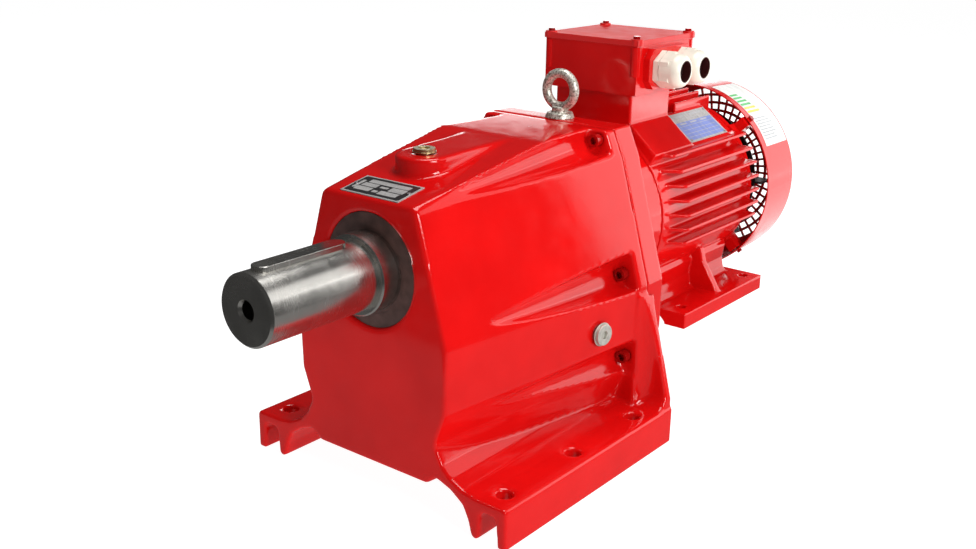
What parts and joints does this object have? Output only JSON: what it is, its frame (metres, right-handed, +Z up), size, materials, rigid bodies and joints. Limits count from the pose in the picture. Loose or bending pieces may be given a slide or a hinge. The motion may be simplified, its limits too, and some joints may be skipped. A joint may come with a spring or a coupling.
{
  "type": "inline gear reducer",
  "caption": "Foot-mounted inline helical gear reducer with a keyed solid output shaft, flange-mounted finned electric motor, terminal box and fan cowl.",
  "frame": {"origin": "centre of the rectangle of the four outer foot holes, on the plane the feet stand on", "axes": "+Y from the output shaft end toward the motor (the shaft points along -Y), +Z up, +X to the right when facing the shaft end"},
  "size_m": [0.45, 1.112, 0.572],
  "materials": {
    "red_casting": "gloss",
    "red_sheet": "gloss",
    "ground_steel": "satin",
    "zinc_steel": "satin",
    "black_rubber": "matte",
    "yellow_zinc": "satin",
    "gear_steel": "satin",
    "bearing_steel": "polished",
    "laminated_steel": "satin",
    "copper_winding": "gloss",
    "cast_aluminium": "satin",
    "plate_black": "satin",
    "plate_blue": "satin",
    "ivory_plastic": "satin",
    "gasket_fibre": "matte",
    "moulding": "matte",
    "fan_plastic": "matte",
    "label_film": "satin",
    "brass": "satin",
    "red_screw": "gloss"
  },
  "bodies": {
    "housing": {"gear_housing": "red_casting", "oil_plugs": "zinc_steel", "plug_washers": "zinc_steel", "breather_plug": "yellow_zinc", "adapter_flange": "red_casting", "flange_gasket": "gasket_fibre", "flange_screws": "red_screw", "eyebolt": "zinc_steel", "reducer_nameplate": "plate_black", "plate_rivets": "cast_aluminium", "output_oil_seal": "black_rubber", "output_front_outer_ring": "bearing_steel", "output_rear_outer_ring": "bearing_steel", "intermediate_rear_outer_ring": "bearing_steel", "bearing_45_outer_rings": "bearing_steel", "motor_shaft_seal": "black_rubber", "stator_frame": "red_casting", "stator_core": "laminated_steel", "stator_windings": "copper_winding", "fan_end_shield": "red_casting", "end_shield_screws": "zinc_steel", "fan_cowl": "red_sheet", "cowl_screws": "red_screw", "cowl_label": "label_film", "terminal_box": "red_casting", "terminal_box_gasket": "gasket_fibre", "terminal_box_lid": "red_casting", "terminal_lid_screws": "red_screw", "terminal_block": "moulding", "terminal_studs": "brass", "gland_bodies": "ivory_plastic", "gland_nuts": "ivory_plastic", "gland_seals": "black_rubber", "motor_nameplate": "plate_blue"},
    "output_rotor": {"output_shaft": "ground_steel", "output_shaft_key": "ground_steel", "output_gear": "gear_steel", "output_gear_key": "gear_steel", "output_spacer": "gear_steel", "output_circlip": "gear_steel", "output_front_inner_ring": "bearing_steel", "output_rear_inner_ring": "bearing_steel"},
    "intermediate_rotor": {"intermediate_shaft": "gear_steel", "intermediate_gear": "gear_steel", "intermediate_gear_key": "gear_steel", "intermediate_circlip": "gear_steel", "intermediate_front_inner_ring": "bearing_steel", "intermediate_rear_inner_ring": "bearing_steel"},
    "motor_rotor": {"input_pinion": "gear_steel", "motor_shaft": "ground_steel", "motor_inner_rings": "bearing_steel", "rotor_core": "laminated_steel", "rotor_end_rings": "cast_aluminium", "cooling_fan": "fan_plastic", "fan_circlip": "gear_steel"},
    "output_front_cage": {"output_front_balls": "bearing_steel"},
    "output_rear_cage": {"output_rear_balls": "bearing_steel"},
    "intermediate_front_cage": {"intermediate_front_balls": "bearing_steel"},
    "intermediate_rear_cage": {"intermediate_rear_balls": "bearing_steel"},
    "motor_cages": {"motor_bearing_balls": "bearing_steel"}
  },
  "joints": [
    {"name": "output_spin", "type": "hinge", "parent": "housing", "child": "output_rotor", "pos_m": [0, 0, 0.315], "axis": [0, 1, 0], "continuous": true},
    {"name": "intermediate_spin", "type": "hinge", "parent": "housing", "child": "intermediate_rotor", "pos_m": [0, 0, 0.18], "axis": [0, 1, 0], "continuous": true},
    {"name": "motor_spin", "type": "hinge", "parent": "housing", "child": "motor_rotor", "pos_m": [0, 0, 0.297], "axis": [0, 1, 0], "continuous": true},
    {"name": "output_front_cage_spin", "type": "hinge", "parent": "housing", "child": "output_front_cage", "pos_m": [0, 0, 0.315], "axis": [0, 1, 0], "continuous": true},
    {"name": "output_rear_cage_spin", "type": "hinge", "parent": "housing", "child": "output_rear_cage", "pos_m": [0, 0, 0.315], "axis": [0, 1, 0], "continuous": true},
    {"name": "intermediate_front_cage_spin", "type": "hinge", "parent": "housing", "child": "intermediate_front_cage", "pos_m": [0, 0, 0.18], "axis": [0, 1, 0], "continuous": true},
    {"name": "intermediate_rear_cage_spin", "type": "hinge", "parent": "housing", "child": "intermediate_rear_cage", "pos_m": [0, 0, 0.18], "axis": [0, 1, 0], "continuous": true},
    {"name": "motor_cages_spin", "type": "hinge", "parent": "housing", "child": "motor_cages", "pos_m": [0, 0, 0.297], "axis": [0, 1, 0], "continuous": true}
  ],
  "couplings": [
    {"joint": "intermediate_spin", "follows": "output_spin", "ratio": -2.4737},
    {"joint": "motor_spin", "follows": "output_spin", "ratio": 8.4396},
    {"joint": "output_front_cage_spin", "follows": "output_spin", "ratio": 0.43774},
    {"joint": "output_rear_cage_spin", "follows": "output_spin", "ratio": 0.43478},
    {"joint": "intermediate_front_cage_spin", "follows": "output_spin", "ratio": -0.95535},
    {"joint": "intermediate_rear_cage_spin", "follows": "output_spin", "ratio": -0.9612},
    {"joint": "motor_cages_spin", "follows": "output_spin", "ratio": 3.2594}
  ]
}
